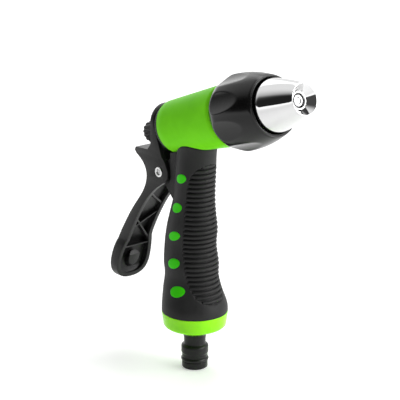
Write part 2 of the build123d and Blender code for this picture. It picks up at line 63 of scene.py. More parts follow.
class Socket:
    # One output of a node, so that shader maths reads as ordinary sums.
    def __init__(self, tree, out):
        self.tree = tree
        self.out = out

    def node(self, kind, settings=None, **inputs):
        made = self.tree.nodes.new(kind)
        for key, value in (settings or {}).items():
            if key == "stops":
                ramp = made.color_ramp
                while len(ramp.elements) < len(value):
                    ramp.elements.new(0.5)
                for element, (place, colour) in zip(ramp.elements, value):
                    element.position = place
                    element.color = colour
            else:
                setattr(made, key, value)
        for key, value in inputs.items():
            name = key.replace("_", " ")
            target = made.inputs[int(key[1:])] if key[1:].isdigit() else made.inputs[name]
            if isinstance(value, Socket):
                self.tree.links.new(value.out, target)
            else:
                target.default_value = value
        return made

    def get(self, made, name=0):
        return Socket(self.tree, made.outputs[name])

    def maths(self, operation, a, b=0.0):
        return self.get(self.node("ShaderNodeMath", {"operation": operation}, i0=a, i1=b))

    def __add__(self, other):
        return self.maths("ADD", self, other)

    def __radd__(self, other):
        return self.maths("ADD", other, self)

    def __sub__(self, other):
        return self.maths("SUBTRACT", self, other)

    def __rsub__(self, other):
        return self.maths("SUBTRACT", other, self)

    def __mul__(self, other):
        return self.maths("MULTIPLY", self, other)

    def __rmul__(self, other):
        return self.maths("MULTIPLY", other, self)

    def clamp(self):
        return self.get(self.node("ShaderNodeClamp", None, Value=self))

    def noise(self, scale, detail=4.0, roughness=0.55, stretch=None):
        where = self
        if stretch:
            where = self.get(self.node("ShaderNodeMapping", None, Vector=self, Scale=stretch))
        made = self.node("ShaderNodeTexNoise", None, Vector=where, Scale=scale, Detail=detail,
                         Roughness=roughness)
        return self.get(made, "Fac")

    def ramp(self, stops):
        return self.get(self.node("ShaderNodeValToRGB", {"stops": stops}, Fac=self), "Color")

    def between(self, low, high):
        # Maps low..high to 0..1, with smooth ends.
        made = self.node("ShaderNodeMapRange", {"interpolation_type": "SMOOTHSTEP"}, Value=self)
        made.inputs["From Min"].default_value = low
        made.inputs["From Max"].default_value = high
        return self.get(made)


def newMaterial(name):
    material = bpy.data.materials.new(name)
    material.use_nodes = True
    tree = material.node_tree
    shader = tree.nodes["Principled BSDF"]
    place = Socket(tree, tree.nodes.new("ShaderNodeTexCoord").outputs["Object"])
    return material, shader, place


def linked(shader, place, **inputs):
    # Sets or links inputs of the main shader.
    for key, value in inputs.items():
        target = shader.inputs[key.replace("_", " ")]
        if isinstance(value, Socket):
            place.tree.links.new(value.out, target)
        else:
            target.default_value = value


def bump(place, height, strength, distance):
    made = place.node("ShaderNodeBump", None, Strength=strength, Distance=distance, Height=height)
    return place.get(made, "Normal")


def grey(value):
    return (value, value, value, 1)


# Moulded nylon, the smoother collar, rubber and the seals.
mouldedBlack = {"dark": 0.008, "light": 0.014, "rough": 0.34, "grainScale": 2600, "grain": 0.12,
                "shine": 0.22}
collarBlack = {"dark": 0.004, "light": 0.006, "rough": 0.2, "grainScale": 3400, "grain": 0.03, "shine": 0.32}
rubberBlack = {"dark": 0.014, "light": 0.021, "rough": 0.55, "grainScale": 2200, "grain": 0.2, "shine": 0.22}
sealBlack = {"dark": 0.006, "light": 0.01, "rough": 0.35, "grainScale": 1500, "grain": 0.05, "shine": 0.3}


def blackMaterial(name, spec):
    material, shader, place = newMaterial(name)
    cloudy = place.noise(90, 5)
    fine = place.noise(spec["grainScale"], 2)
    scuff = place.noise(420, 6, 0.7, stretch=(1, 1, 0.25)).between(0.55, 0.8)
    linked(
        shader, place,
        Base_Color=cloudy.ramp([(0.3, grey(spec["dark"])), (0.7, grey(spec["light"]))]),
        Roughness=(spec["rough"] - 0.06 + 0.1 * cloudy + 0.06 * scuff).clamp(),
        Normal=bump(place, fine + 0.3 * cloudy, spec["grain"], 0.0004),
    )
    shader.inputs["Specular IOR Level"].default_value = spec["shine"]
    return material


# Paint on the casting, the glossy base ring and the satin studs.
paintGreen = {"low": (0.16, 0.66, 0.012, 1), "high": (0.2, 0.76, 0.016, 1), "rough": 0.36, "shine": 0.02}
ringGreen = {"low": (0.22, 0.8, 0.0, 1), "high": (0.34, 0.96, 0.0, 1), "rough": 0.2, "shine": 0.3}
studGreen = {"low": (0.035, 0.6, 0.002, 1), "high": (0.05, 0.68, 0.003, 1), "rough": 0.42, "shine": 0.1}


def greenMaterial(name, spec):
    material, shader, place = newMaterial(name)
    cloudy = place.noise(60, 4)
    orangePeel = place.noise(900, 3)
    speckle = place.noise(5200, 1).between(0.72, 0.8)
    linked(
        shader, place,
        Base_Color=(cloudy + 0.1 * speckle).ramp([(0.3, spec["low"]), (0.75, spec["high"])]),
        Roughness=(spec["rough"] - 0.04 + 0.08 * cloudy).clamp(),
        Normal=bump(place, orangePeel, 0.02, 0.0003),
    )
    shader.inputs["Specular IOR Level"].default_value = spec["shine"]
    return material


chromePlate = {"tint": 0.72, "dull": 0.03, "rough": 0.04}


def chromeMaterial(name, spec):
    material, shader, place = newMaterial(name)
    cloudy = place.noise(130, 4)
    smear = place.noise(300, 6, 0.7, stretch=(1, 1, 0.3)).between(0.5, 0.8)
    linked(
        shader, place,
        Base_Color=cloudy.ramp([(0.2, grey(spec["tint"] - spec["dull"])), (0.8, grey(spec["tint"]))]),
        Roughness=(spec["rough"] + 0.03 * smear).clamp(),
        Normal=bump(place, cloudy, 0.02, 0.0003),
        Metallic=1.0,
    )
    return material


steel = {"low": (0.42, 0.42, 0.43, 1), "high": (0.6, 0.6, 0.6, 1), "rough": 0.25}
brass = {"low": (0.55, 0.38, 0.14, 1), "high": (0.72, 0.53, 0.22, 1), "rough": 0.22}


def turnedMetalMaterial(name, spec):
    material, shader, place = newMaterial(name)
    cloudy = place.noise(200, 5)
    rings = place.noise(2400, 2, 0.6, stretch=(0.15, 0.15, 1))
    linked(
        shader, place,
        Base_Color=cloudy.ramp([(0.25, spec["low"]), (0.75, spec["high"])]),
        Roughness=(spec["rough"] + 0.12 * rings).clamp(),
        Normal=bump(place, rings, 0.08, 0.0002),
        Metallic=1.0,
    )
    return material


materials = {
    "mouldedBlack": blackMaterial("mouldedBlack", mouldedBlack),
    "collarBlack": blackMaterial("collarBlack", collarBlack),
    "rubberBlack": blackMaterial("rubberBlack", rubberBlack),
    "sealBlack": blackMaterial("sealBlack", sealBlack),
    "paintGreen": greenMaterial("paintGreen", paintGreen),
    "ringGreen": greenMaterial("ringGreen", ringGreen),
    "studGreen": greenMaterial("studGreen", studGreen),
    "chrome": chromeMaterial("chrome", chromePlate),
    "steel": turnedMetalMaterial("steel", steel),
    "brass": turnedMetalMaterial("brass", brass),
}
print("materials made")


def finished(name, mesh, material, body, replaces=(), angle=40):
    # A piece with its material and body. Edges sharper than the angle stay sharp.
    mesh.shade_smooth()
    mesh.set_sharp_from_angle(angle=radians(angle))
    mesh.materials.clear()
    mesh.materials.append(materials[material])
    piece = bpy.data.objects.new(name, mesh)
    bpy.context.scene.collection.objects.link(piece)
    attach(piece, body)
    if replaces:
        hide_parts(*replaces)
    return piece


def meshFrom(name, mesh):
    made = bpy.data.meshes.new(name)
    mesh.to_mesh(made)
    mesh.free()
    return made


def evaluated(carrier, name):
    # The carrier's mesh after its modifiers. The carrier itself is removed.
    depsgraph = bpy.context.evaluated_depsgraph_get()
    made = bpy.data.meshes.new_from_object(carrier.evaluated_get(depsgraph), depsgraph=depsgraph)
    made.name = name
    bpy.data.objects.remove(carrier)
    return made


def carrierFor(name, mesh):
    carrier = bpy.data.objects.new(name + "Carrier", mesh)
    bpy.context.scene.collection.objects.link(carrier)
    return carrier


def softened(corners, steps=4):
    # Rounds a closed outline of (radius, height, rounding) corners.
    points = []
    count = len(corners)
    for index, (r, z, rounding) in enumerate(corners):
        here = Vector((r, z))
        before = Vector(corners[index - 1][:2]) - here
        after = Vector(corners[(index + 1) % count][:2]) - here
        if rounding <= 0 or before.length < 1e-6 or after.length < 1e-6:
            points.append(here)
            continue
        reach = min(rounding, before.length * 0.48, after.length * 0.48)
        start = here + before.normalized() * reach
        end = here + after.normalized() * reach
        for step in range(steps + 1):
            share = step / steps
            points.append(start * (1 - share) ** 2 + here * 2 * share * (1 - share) + end * share ** 2)
    return points


def turnedMesh(name, corners, place, segments=96, change=None, steps=4):
    # Turns a closed outline about Z. change(radius, height, angle) may move a point's radius.
    outline = softened(corners, steps)
    mesh = bmesh.new()
    rings = []
    for step in range(segments):
        angle = 2 * pi * step / segments
        ring = []
        for r, z in outline:
            radius = change(r, z, angle) if change else r
            ring.append(mesh.verts.new(place @ (Vector((radius * cos(angle), radius * sin(angle), z)) * mm)))
        rings.append(ring)
    count = len(outline)
    for step in range(segments):
        near, far = rings[step], rings[(step + 1) % segments]
        for k in range(count):
            nextK = (k + 1) % count
            mesh.faces.new((near[k], near[nextK], far[nextK], far[k]))
    bmesh.ops.remove_doubles(mesh, verts=mesh.verts, dist=1e-7)
    bmesh.ops.dissolve_degenerate(mesh, edges=mesh.edges, dist=1e-8)
    bmesh.ops.recalc_face_normals(mesh, faces=mesh.faces)
    return meshFrom(name, mesh)


# The painted barrel's cone: ends along its axis, and radius at each.
barrel = {"rear": -16.9, "rearRadius": 15.4, "step": 34.9, "stepRadius": 17.75}

# Spray collar: a dome with scallops, hollow, with a ring groove behind its rear land.
collar = {
    "rear": 35.2, "rearRadius": 18.4, "maxRadius": 21.35, "maxAt": 43.0, "rim": 68.3, "rimRadius": 16.6,
    "mouth": 15.45, "bore": 16.25, "landBore": 16.05, "landFront": 44.3, "ringBore": 17.3, "ringFront": 46.0,
    "scallops": 8, "scallopTurn": 0.5, "scallopFloor": 19.4, "scallopRadius": 20.0, "scallopEdge": 0.12,
    "domeSteps": 40, "domeEnd": 1.4, "mouthDepth": 2.3, "segments": 360,
}


def collarOutline():
    corners = [(collar["landBore"], collar["rear"], 0.2), (collar["rearRadius"] - 0.3, collar["rear"], 0.1)]
    steps = collar["domeSteps"]
    for step in range(1, steps + 1):
        height = collar["rear"] + step / steps * (collar["rim"] - collar["domeEnd"] - collar["rear"])
        before = min(1.0, (height - collar["rear"]) / (collar["maxAt"] - collar["rear"]))
        after = max(0.0, (height - collar["maxAt"]) / (collar["rim"] - collar["maxAt"]))
        radius = collar["rearRadius"] + (collar["maxRadius"] - collar["rearRadius"]) * sin(pi / 2 * before)
        radius -= (collar["maxRadius"] - collar["rimRadius"]) * after ** 2
        corners.append((radius, height, 0.0))
    corners += [
        (collar["rimRadius"] + 0.1, collar["rim"] - 0.9, 0.25),
        (collar["rimRadius"], collar["rim"], 0.35),
        (collar["mouth"], collar["rim"], 0.3),
        (collar["mouth"], collar["rim"] - collar["mouthDepth"], 0.2),
        (collar["bore"], collar["rim"] - collar["mouthDepth"], 0),
        (collar["bore"], collar["ringFront"], 0),
        (collar["ringBore"], collar["ringFront"], 0),
        (collar["ringBore"], collar["landFront"], 0),
        (collar["landBore"], collar["landFront"], 0),
    ]
    return corners


def scallopCut(radius, height, angle):
    # Straight troughs, parallel to the barrel axis, that run out of the dome at both ends.
    if radius < collar["scallopFloor"] - 1 or height > collar["rim"] - 3:
        return radius
    pitch = 2 * pi / collar["scallops"]
    turn = ((angle / pitch - collar["scallopTurn"] + 0.5) % 1.0 - 0.5) * pitch
    centre = collar["scallopFloor"] + collar["scallopRadius"]
    trough = centre * cos(turn) - sqrt(max(0.0, collar["scallopRadius"] ** 2 - (centre * sin(turn)) ** 2))
    # A smooth minimum keeps the trough's edges slightly rounded.
    gap = (radius - trough) / (2 * collar["scallopEdge"])
    return min(radius, trough) - collar["scallopEdge"] * 0.5 * max(0.0, 1 - abs(gap)) ** 2


finished("sprayCollar",
         turnedMesh("sprayCollar", collarOutline(), barrelPlace, collar["segments"], scallopCut),
         "collarBlack", "spray_collar", ["spray_collar"], angle=50)
print("spray collar made")

# Nozzle tip: a chrome cone, slightly bulged, with a funnel in its front.
tip = {
    "lip": 92.0, "lipRadius": 8.96, "base": 70.5, "baseRadius": 14.7, "rear": 52.0, "bore": 11.2,
    "bulge": 0.35, "funnelRadius": 8.35, "funnelDepth": 4.7, "throat": 3.8, "throatLip": 4.3,
    "throatLength": 3.3, "chamberFront": 72.0, "coneSteps": 14,
}


def tipOutline():
    corners = [(tip["bore"], tip["rear"], 0), (tip["baseRadius"], tip["rear"], 0.3),
               (tip["baseRadius"], tip["base"] - 0.6, 0)]
    for step in range(tip["coneSteps"] + 1):
        share = step / tip["coneSteps"]
        radius = tip["baseRadius"] + share * (tip["lipRadius"] - tip["baseRadius"])
        height = tip["base"] + share * (tip["lip"] - 0.3 - tip["base"])
        corners.append((radius + tip["bulge"] * sin(pi * share), height, 0))
    floor = tip["lip"] - tip["funnelDepth"]
    corners += [
        (tip["lipRadius"] - 0.05, tip["lip"], 0.25),
        (tip["funnelRadius"], tip["lip"], 0.25),
        (tip["throatLip"] + 0.5, floor + 0.25, 0.6),
        (tip["throatLip"] - 0.1, floor + 0.35, 0.3),
        (tip["throat"], floor - 0.1, 0.2),
        (tip["throat"], floor - tip["throatLength"], 0.2),
        (tip["bore"], tip["chamberFront"], 0.3),
    ]
    return corners


finished("nozzleTip", turnedMesh("nozzleTip", tipOutline(), barrelPlace, 160), "chrome", "spray_collar",
         ["nozzle_tip"], angle=35)

needle = {"face": 87.0, "radius": 3.1, "stem": 2.2, "dish": 1.9, "length": 9.0, "bore": 1.65, "boreEnd": 3.3}


def needleOutline():
    return [
        (needle["bore"], needle["face"] - needle["length"], 0),
        (needle["stem"], needle["face"] - needle["length"], 0.2),
        (needle["radius"], needle["face"] - 3.0, 0.5),
        (needle["radius"], needle["face"], 0.3),
        (needle["dish"], needle["face"], 0.2),
        (needle["dish"] - 0.3, needle["face"] - 0.5, 0.2),
        (0.0, needle["face"] - 0.35, 0),
        (0.0, needle["face"] - needle["boreEnd"], 0),
        (needle["bore"], needle["face"] - needle["boreEnd"], 0),
    ]


finished("needleHead", turnedMesh("needleHead", needleOutline(), barrelPlace, 64), "steel", "spindle",
         ["needle_head"], angle=35)
print("nozzle tip made")

# Rear cap: a gland with a shallow groove round its face.
rearCap = {"rear": -19.3, "flange": 14.2, "plug": 11.95, "front": -5.9, "bore": 2.55}
finished("rearCap", turnedMesh("rearCap", [
    (rearCap["bore"], rearCap["rear"], 0.3),
    (rearCap["flange"] - 5.5, rearCap["rear"], 0.3),
    (rearCap["flange"] - 5.2, rearCap["rear"] + 0.5, 0.2),
    (rearCap["flange"] - 4.2, rearCap["rear"] + 0.5, 0.2),
    (rearCap["flange"] - 3.9, rearCap["rear"], 0.3),
    (rearCap["flange"], rearCap["rear"], 0.9),
    (rearCap["flange"], barrel["rear"], 0.1),
    (rearCap["plug"], barrel["rear"], 0),
    (rearCap["plug"], rearCap["front"], 0.3),
    (rearCap["bore"], rearCap["front"], 0.2),
], barrelPlace, 96), "mouldedBlack", "body", ["rear_cap"])

knob = {"front": -31.5, "rear": -41.0, "radius": 6.4, "core": 5.55, "flutes": 14, "fluteWidth": 1.6,
        "insert": 3.6, "end": 1.4, "segments": 336}


def knobFlute(radius, height, angle):
    if radius < knob["core"]:
        return radius
    wave = 0.5 - 0.5 * cos(angle * knob["flutes"])
    return radius - (radius - knob["core"]) * wave ** knob["fluteWidth"]


finished("flowKnob", turnedMesh("flowKnob", [
    (knob["insert"], knob["front"], 0),
    (knob["radius"] - 0.4, knob["front"], 0.2),
    (knob["radius"], knob["front"] - 0.4, 0.2),
    (knob["radius"], knob["rear"] + 0.9, 0.3),
    (knob["radius"] - 0.3, knob["rear"] + 0.25, 0.3),
    (knob["radius"] - 1.1, knob["rear"], 0.3),
    (0.0, knob["rear"], 0),
    (0.0, knob["rear"] + knob["end"], 0),
    (knob["insert"], knob["rear"] + knob["end"], 0),
], barrelPlace, knob["segments"], knobFlute), "mouldedBlack", "flow_knob",
         ["flow_knob"], angle=30)
print("rear cap and flow knob made")

# Base ring, with its bevelled corner, and the stepped hose plug below it.
baseRing = {"top": 35.4, "topRadius": 19.45, "corner": 27.0, "cornerRadius": 18.2, "bottom": 22.2,
            "hole": 8.6, "foot": 13.05, "floor": 26.0}
finished("baseRing", turnedMesh("baseRing", [
    (baseRing["hole"], baseRing["bottom"], 0.3),
    (baseRing["cornerRadius"] - 1.0, baseRing["corner"] - 0.9, 0.9),
    (baseRing["cornerRadius"] + 0.2, baseRing["corner"] + 0.2, 0.9),
    (baseRing["topRadius"] - 0.5, baseRing["top"] - 4.2, 2.2),
    (baseRing["topRadius"], baseRing["top"], 0.25),
    (baseRing["foot"], baseRing["top"], 0),
    (baseRing["foot"], baseRing["floor"], 0),
    (baseRing["hole"], baseRing["floor"], 0),
], handlePlace, 128), "ringGreen", "body", ["base_ring"], angle=45)

hosePlug = {"bore": 4.6, "nose": 7.6, "noseEnd": 8.9, "floor": 5.7, "ringAt": 5.4, "ringHalf": 1.25,
            "collar": 8.0, "collarStart": 9.5, "collarEnd": 13.9, "groove": 6.4, "grooveStart": 14.7,
            "grooveEnd": 17.1, "shank": 8.25, "shankAt": 22.2, "top": 36.0}
finished("hosePlug", turnedMesh("hosePlug", [
    (hosePlug["bore"], 0, 0.3),
    (hosePlug["nose"], 0, 0.9),
    (hosePlug["nose"], hosePlug["ringAt"] - hosePlug["ringHalf"], 0.25),
    (hosePlug["floor"], hosePlug["ringAt"] - hosePlug["ringHalf"], 0),
    (hosePlug["floor"], hosePlug["ringAt"] + hosePlug["ringHalf"], 0),
    (hosePlug["nose"], hosePlug["ringAt"] + hosePlug["ringHalf"], 0.25),
    (hosePlug["nose"], hosePlug["noseEnd"], 0.3),
    (hosePlug["collar"], hosePlug["collarStart"], 0.5),
    (hosePlug["collar"], hosePlug["collarEnd"], 0.9),
    (hosePlug["groove"], hosePlug["grooveStart"], 0.3),
    (hosePlug["groove"], hosePlug["grooveEnd"], 0.5),
    (hosePlug["groove"] + 0.3, hosePlug["shankAt"] - 1.6, 0.3),
    (hosePlug["shank"], hosePlug["shankAt"], 0.1),
    (hosePlug["shank"], hosePlug["top"], 0.2),
    (hosePlug["bore"], hosePlug["top"], 0.2),
], handlePlace, 96), "mouldedBlack", "body", ["hose_plug"], angle=35)
print("base ring and hose plug made")

# Pivot pin, with a hollow head at each end.
pivotPin = {"radius": 2.0, "head": 3.05, "half": 9.55, "headHeight": 0.5, "hollow": 1.85,
            "hollowDepth": 1.0, "core": 1.5}


def pinOutline():
    half, top = pivotPin["half"], pivotPin["half"] + pivotPin["headHeight"]
    above = [
        (pivotPin["radius"], half, 0),
        (pivotPin["head"], half, 0.15),
        (pivotPin["head"] - 0.1, top, 0.35),
        (pivotPin["hollow"], top, 0.3),
        (pivotPin["hollow"] - 0.15, top - pivotPin["hollowDepth"], 0.1),
        (0.0, top - pivotPin["hollowDepth"], 0),
    ]
    below = [(r, -z, rounding) for r, z, rounding in reversed(above)]
    return above + below


finished("pivotPin", turnedMesh("pivotPin", pinOutline(), pinPlace, 64), "chrome", "body",
         ["pivot_pin"], angle=40)


def pinHollowDiscOutline():
    # A duller steel disc low inside each hollow head, which keeps the hollow's centre grey.
    floor = pivotPin["half"] + pivotPin["headHeight"] - pivotPin["hollowDepth"]
    above = [(pivotPin["core"], floor + 0.02, 0), (pivotPin["core"] - 0.1, floor + 0.35, 0.15),
             (0.5, floor + 0.5, 0.2), (0.0, floor + 0.3, 0)]
    return above + [(r, -z, rounding) for r, z, rounding in reversed(above)]


finished("pinHollowDisc", turnedMesh("pinHollowDisc", pinHollowDiscOutline(), pinPlace, 48), "steel", "body")

# Sections of the grip: height, centre in X, half size in X, half size in Y.
gripSections = [
    (34.0, 0.0, 19.45, 19.45), (40.0, -0.2, 19.5, 18.9), (49.0, -2.0, 18.1, 16.5), (57.0, -2.7, 17.0, 14.8),
    (65.0, -3.1, 17.3, 15.0), (76.0, -3.7, 16.4, 14.0), (86.0, -2.3, 15.9, 13.8), (95.0, -1.5, 14.3, 12.5),
    (105.0, -0.3, 12.7, 11.4), (119.0, 0.8, 12.3, 11.2), (132.5, 1.8, 12.1, 11.0), (140.5, 3.0, 12.7, 12.0),
]
grip = {"bottom": 35.4, "top": 140.0, "columns": 192, "rows": 250, "innerEvery": 10, "wall": 2.4,
        "topRound": 0.45, "topRoundFrom": 0.7, "bottomRound": 0.2, "bottomRoundTo": 0.5,
        "barrelGap": 0.1, "searchFrom": 122.0, "searchSteps": 20, "panelDepth": 1.4, "panelEdge": 0.045,
        "ribPitch": 2.75, "ribHalf": 1.05, "ribInset": 0.95, "ribSides": 10, "ribEndGap": 0.02}


def sectionAt(height):
    # Smooth curve through the sections.
    last = len(gripSections) - 1
    k = 0
    while k < last - 1 and height > gripSections[k + 1][0]:
        k += 1
    p1, p2 = gripSections[k], gripSections[k + 1]
    p0 = gripSections[max(k - 1, 0)]
    p3 = gripSections[min(k + 2, last)]
    span = p2[0] - p1[0]
    share = (height - p1[0]) / span
    values = []
    for c in (1, 2, 3):
        slope1 = (p2[c] - p0[c]) / (p2[0] - p0[0]) * span
        slope2 = (p3[c] - p1[c]) / (p3[0] - p1[0]) * span
        s2, s3 = share ** 2, share ** 3
        values.append((2 * s3 - 3 * s2 + 1) * p1[c] + (s3 - 2 * s2 + share) * slope1
                      + (3 * s2 - 2 * s3) * p2[c] + (s3 - s2) * slope2)
    return values


def gripPoint(angle, height, inset=0.0):
    # angle 0 is the front of the grip, -90 degrees its side towards -Y.
    centre, halfX, halfY = sectionAt(height)
    return Vector((centre + (halfX - inset) * cos(angle), (halfY - inset) * sin(angle), height)) * mm


def smooth(value, low, high):
    share = min(1.0, max(0.0, (value - low) / (high - low)))
    return share * share * (3 - 2 * share)


# Half angle of the ribbed panels against height: the front one and the rear one.
frontPanel = [(43.2, 0), (43.6, 12), (45, 25), (47.5, 36), (51, 45), (55, 53), (61, 58), (68.5, 61), (83, 65),
              (93, 66), (102.5, 68), (112.5, 66), (118.5, 60), (121.5, 50), (123.5, 41),
              (125.5, 19), (126, 0)]
rearPanel = [(46, 0), (48, 26), (54, 38), (64, 42), (78, 40), (88, 30), (91.5, 14), (92.5, 0)]


def panelHalf(panel, height):
    if height <= panel[0][0] or height >= panel[-1][0]:
        return 0.0
    for (z0, a0), (z1, a1) in zip(panel, panel[1:]):
        if height <= z1:
            share = (height - z0) / (z1 - z0)
            return radians(a0 + (a1 - a0) * share)
    return 0.0


def panelDepth(angle, height):
    depth = 0.0
    for panel, turn in ((frontPanel, 0.0), (rearPanel, pi)):
        half = panelHalf(panel, height)
        if half <= 0:
            continue
        away = abs((angle - turn + pi) % (2 * pi) - pi)
        depth = max(depth, smooth(half - away, -0.01, grip["panelEdge"]))
    return depth * grip["panelDepth"]


def aboveBarrel(point):
    # How far a point is outside the barrel's cone, in millimetres.
    onBarrel = barrelPlace.inverted() @ point / mm
    share = (onBarrel.z - barrel["rear"]) / (barrel["step"] - barrel["rear"])
    radius = barrel["rearRadius"] + max(0.0, share) * (barrel["stepRadius"] - barrel["rearRadius"])
    return sqrt(onBarrel.x ** 2 + onBarrel.y ** 2) - radius


def coverTop(angle):
    # Height at which the cover's wall meets the barrel.
    low, high = grip["searchFrom"], grip["top"]
    if aboveBarrel(gripPoint(angle, high)) > grip["barrelGap"]:
        return high
    for turn in range(grip["searchSteps"]):
        middle = (low + high) / 2
        if aboveBarrel(gripPoint(angle, middle)) > grip["barrelGap"]:
            low = middle
        else:
            high = middle
    return low


def gripMesh():
    mesh = bmesh.new()
    rows, columns = grip["rows"], grip["columns"]
    angles = [2 * pi * column / columns for column in range(columns)]
    tops = [coverTop(angle) for angle in angles]
    outer, inner = [], []
    for row in range(rows + 1):
        share = row / rows
        ring, hidden = [], []
        for angle, top in zip(angles, tops):
            height = grip["bottom"] + (top - grip["bottom"]) * share
            edge = grip["topRound"] * smooth(height, top - grip["topRoundFrom"], top)
            edge += grip["bottomRound"] * (
                1 - smooth(height, grip["bottom"], grip["bottom"] + grip["bottomRoundTo"]))
            ring.append(mesh.verts.new(gripPoint(angle, height, edge + panelDepth(angle, height))))
            if row % grip["innerEvery"] == 0:
                hidden.append(mesh.verts.new(gripPoint(angle, height, grip["wall"])))
        outer.append(ring)
        if hidden:
            inner.append(hidden)
    for ring, upper in zip(outer, outer[1:]):
        for c in range(columns):
            d = (c + 1) % columns
            mesh.faces.new((ring[c], ring[d], upper[d], upper[c]))
    for ring, upper in zip(inner, inner[1:]):
        for c in range(columns):
            d = (c + 1) % columns
            mesh.faces.new((ring[d], ring[c], upper[c], upper[d]))
    for c in range(columns):
        d = (c + 1) % columns
        mesh.faces.new((outer[0][d], outer[0][c], inner[0][c], inner[0][d]))
        mesh.faces.new((outer[-1][c], outer[-1][d], inner[-1][d], inner[-1][c]))
    bmesh.ops.recalc_face_normals(mesh, faces=mesh.faces)
    return meshFrom("gripRubber", mesh)


finished("gripRubber", gripMesh(), "rubberBlack", "body", ["grip_cover"], angle=60)

# Black rubber beside and around the lug: cheeks, lining and band are painted shade for the deep shadow in the gap
# round the lug, and the wedge below is the grip's own shape. Outlines are in XZ, half widths along Y.
lugShadeAndWedge = {
    "rear": -12.2, "front": -7.0, "bottom": 106.0, "inside": 6.75, "outside": 8.0,
    "searchFrom": 120.0, "searchStep": 0.1, "barrelGap": 0.15,
    "shadeLining": [(-20.6, 120.9), (-10, 127.0), (-6.5, 127.0), (-6.5, 105.3), (-9.5, 105.3), (-20.6, 111.6)],
    "shadeLiningInside": 6.73, "shadeLiningOutside": 6.93,
    "shadeBand": [(-20.6, 120.95), (-10, 127.05), (-10, 127.3), (-20.6, 121.2)], "shadeBandHalf": 6.9,
    "wedge": [(-6, 105.0), (-10.4, 105.0), (-15.5, 110.2), (-19.0, 109.4), (-9.5, 99.5), (-6, 99.5)],
    "wedgeHalf": 6.7,
}


def prism(mesh, outline, low, high):
    # Adds a plate with an outline in XZ between two places along Y.
    near = [mesh.verts.new(Vector((x, low, z)) * mm) for x, z in outline]
    far = [mesh.verts.new(Vector((x, high, z)) * mm) for x, z in outline]
    mesh.faces.new(near)
    mesh.faces.new(far[::-1])
    for k in range(len(outline)):
        n = (k + 1) % len(outline)
        mesh.faces.new((near[n], near[k], far[k], far[n]))


def lugShadeAndWedgeMesh():
    # The cover's two black cheeks beside the lug, painted shade in the gap, and the wedge under it.
    mesh = bmesh.new()
    outline = [(lugShadeAndWedge["front"], lugShadeAndWedge["bottom"]), (lugShadeAndWedge["rear"], lugShadeAndWedge["bottom"])]
    for x in (lugShadeAndWedge["rear"], lugShadeAndWedge["rear"] * 0.6 + lugShadeAndWedge["front"] * 0.4, lugShadeAndWedge["front"]):
        top = lugShadeAndWedge["searchFrom"]
        while (top < grip["top"]
               and aboveBarrel(Vector((x, lugShadeAndWedge["inside"], top)) * mm) > lugShadeAndWedge["barrelGap"]):
            top += lugShadeAndWedge["searchStep"]
        outline.append((x, top))
    prism(mesh, outline, -lugShadeAndWedge["outside"], -lugShadeAndWedge["inside"])
    prism(mesh, outline, lugShadeAndWedge["inside"], lugShadeAndWedge["outside"])
    # A thin black lining hides the lug's sides, and a band its upper edge: painted shade where the lug lies in
    # shadow.
    prism(mesh, lugShadeAndWedge["shadeLining"], -lugShadeAndWedge["shadeLiningOutside"], -lugShadeAndWedge["shadeLiningInside"])
    prism(mesh, lugShadeAndWedge["shadeLining"], lugShadeAndWedge["shadeLiningInside"], lugShadeAndWedge["shadeLiningOutside"])
    prism(mesh, lugShadeAndWedge["shadeBand"], -lugShadeAndWedge["shadeBandHalf"], lugShadeAndWedge["shadeBandHalf"])
    prism(mesh, lugShadeAndWedge["wedge"], -lugShadeAndWedge["wedgeHalf"], lugShadeAndWedge["wedgeHalf"])
    bmesh.ops.recalc_face_normals(mesh, faces=mesh.faces)
    return meshFrom("lugShadeAndWedgeRubber", mesh)


# Its cheeks, lining and band are painted shade over the lug; the wedge is the grip's own.
finished("lugShadeAndWedgeRubber", lugShadeAndWedgeMesh(), "rubberBlack", "body")


def ribPaths():
    # One open line for each rib, along the panel's surface.
    mesh = bmesh.new()
    for panel, turn in ((frontPanel, 0.0), (rearPanel, pi)):
        height = panel[0][0] + grip["ribPitch"] * 0.7
        while height < panel[-1][0] - 1.0:
            half = panelHalf(panel, height) - grip["ribEndGap"]
            steps = max(8, int(half * 24))
            line = []
            for step in range(steps + 1):
                angle = turn + half * (2 * step / steps - 1)
                line.append(mesh.verts.new(gripPoint(angle, height, grip["ribInset"])))
            for a, b in zip(line, line[1:]):
                mesh.edges.new((a, b))
            height += grip["ribPitch"]
    return meshFrom("ribPaths", mesh)


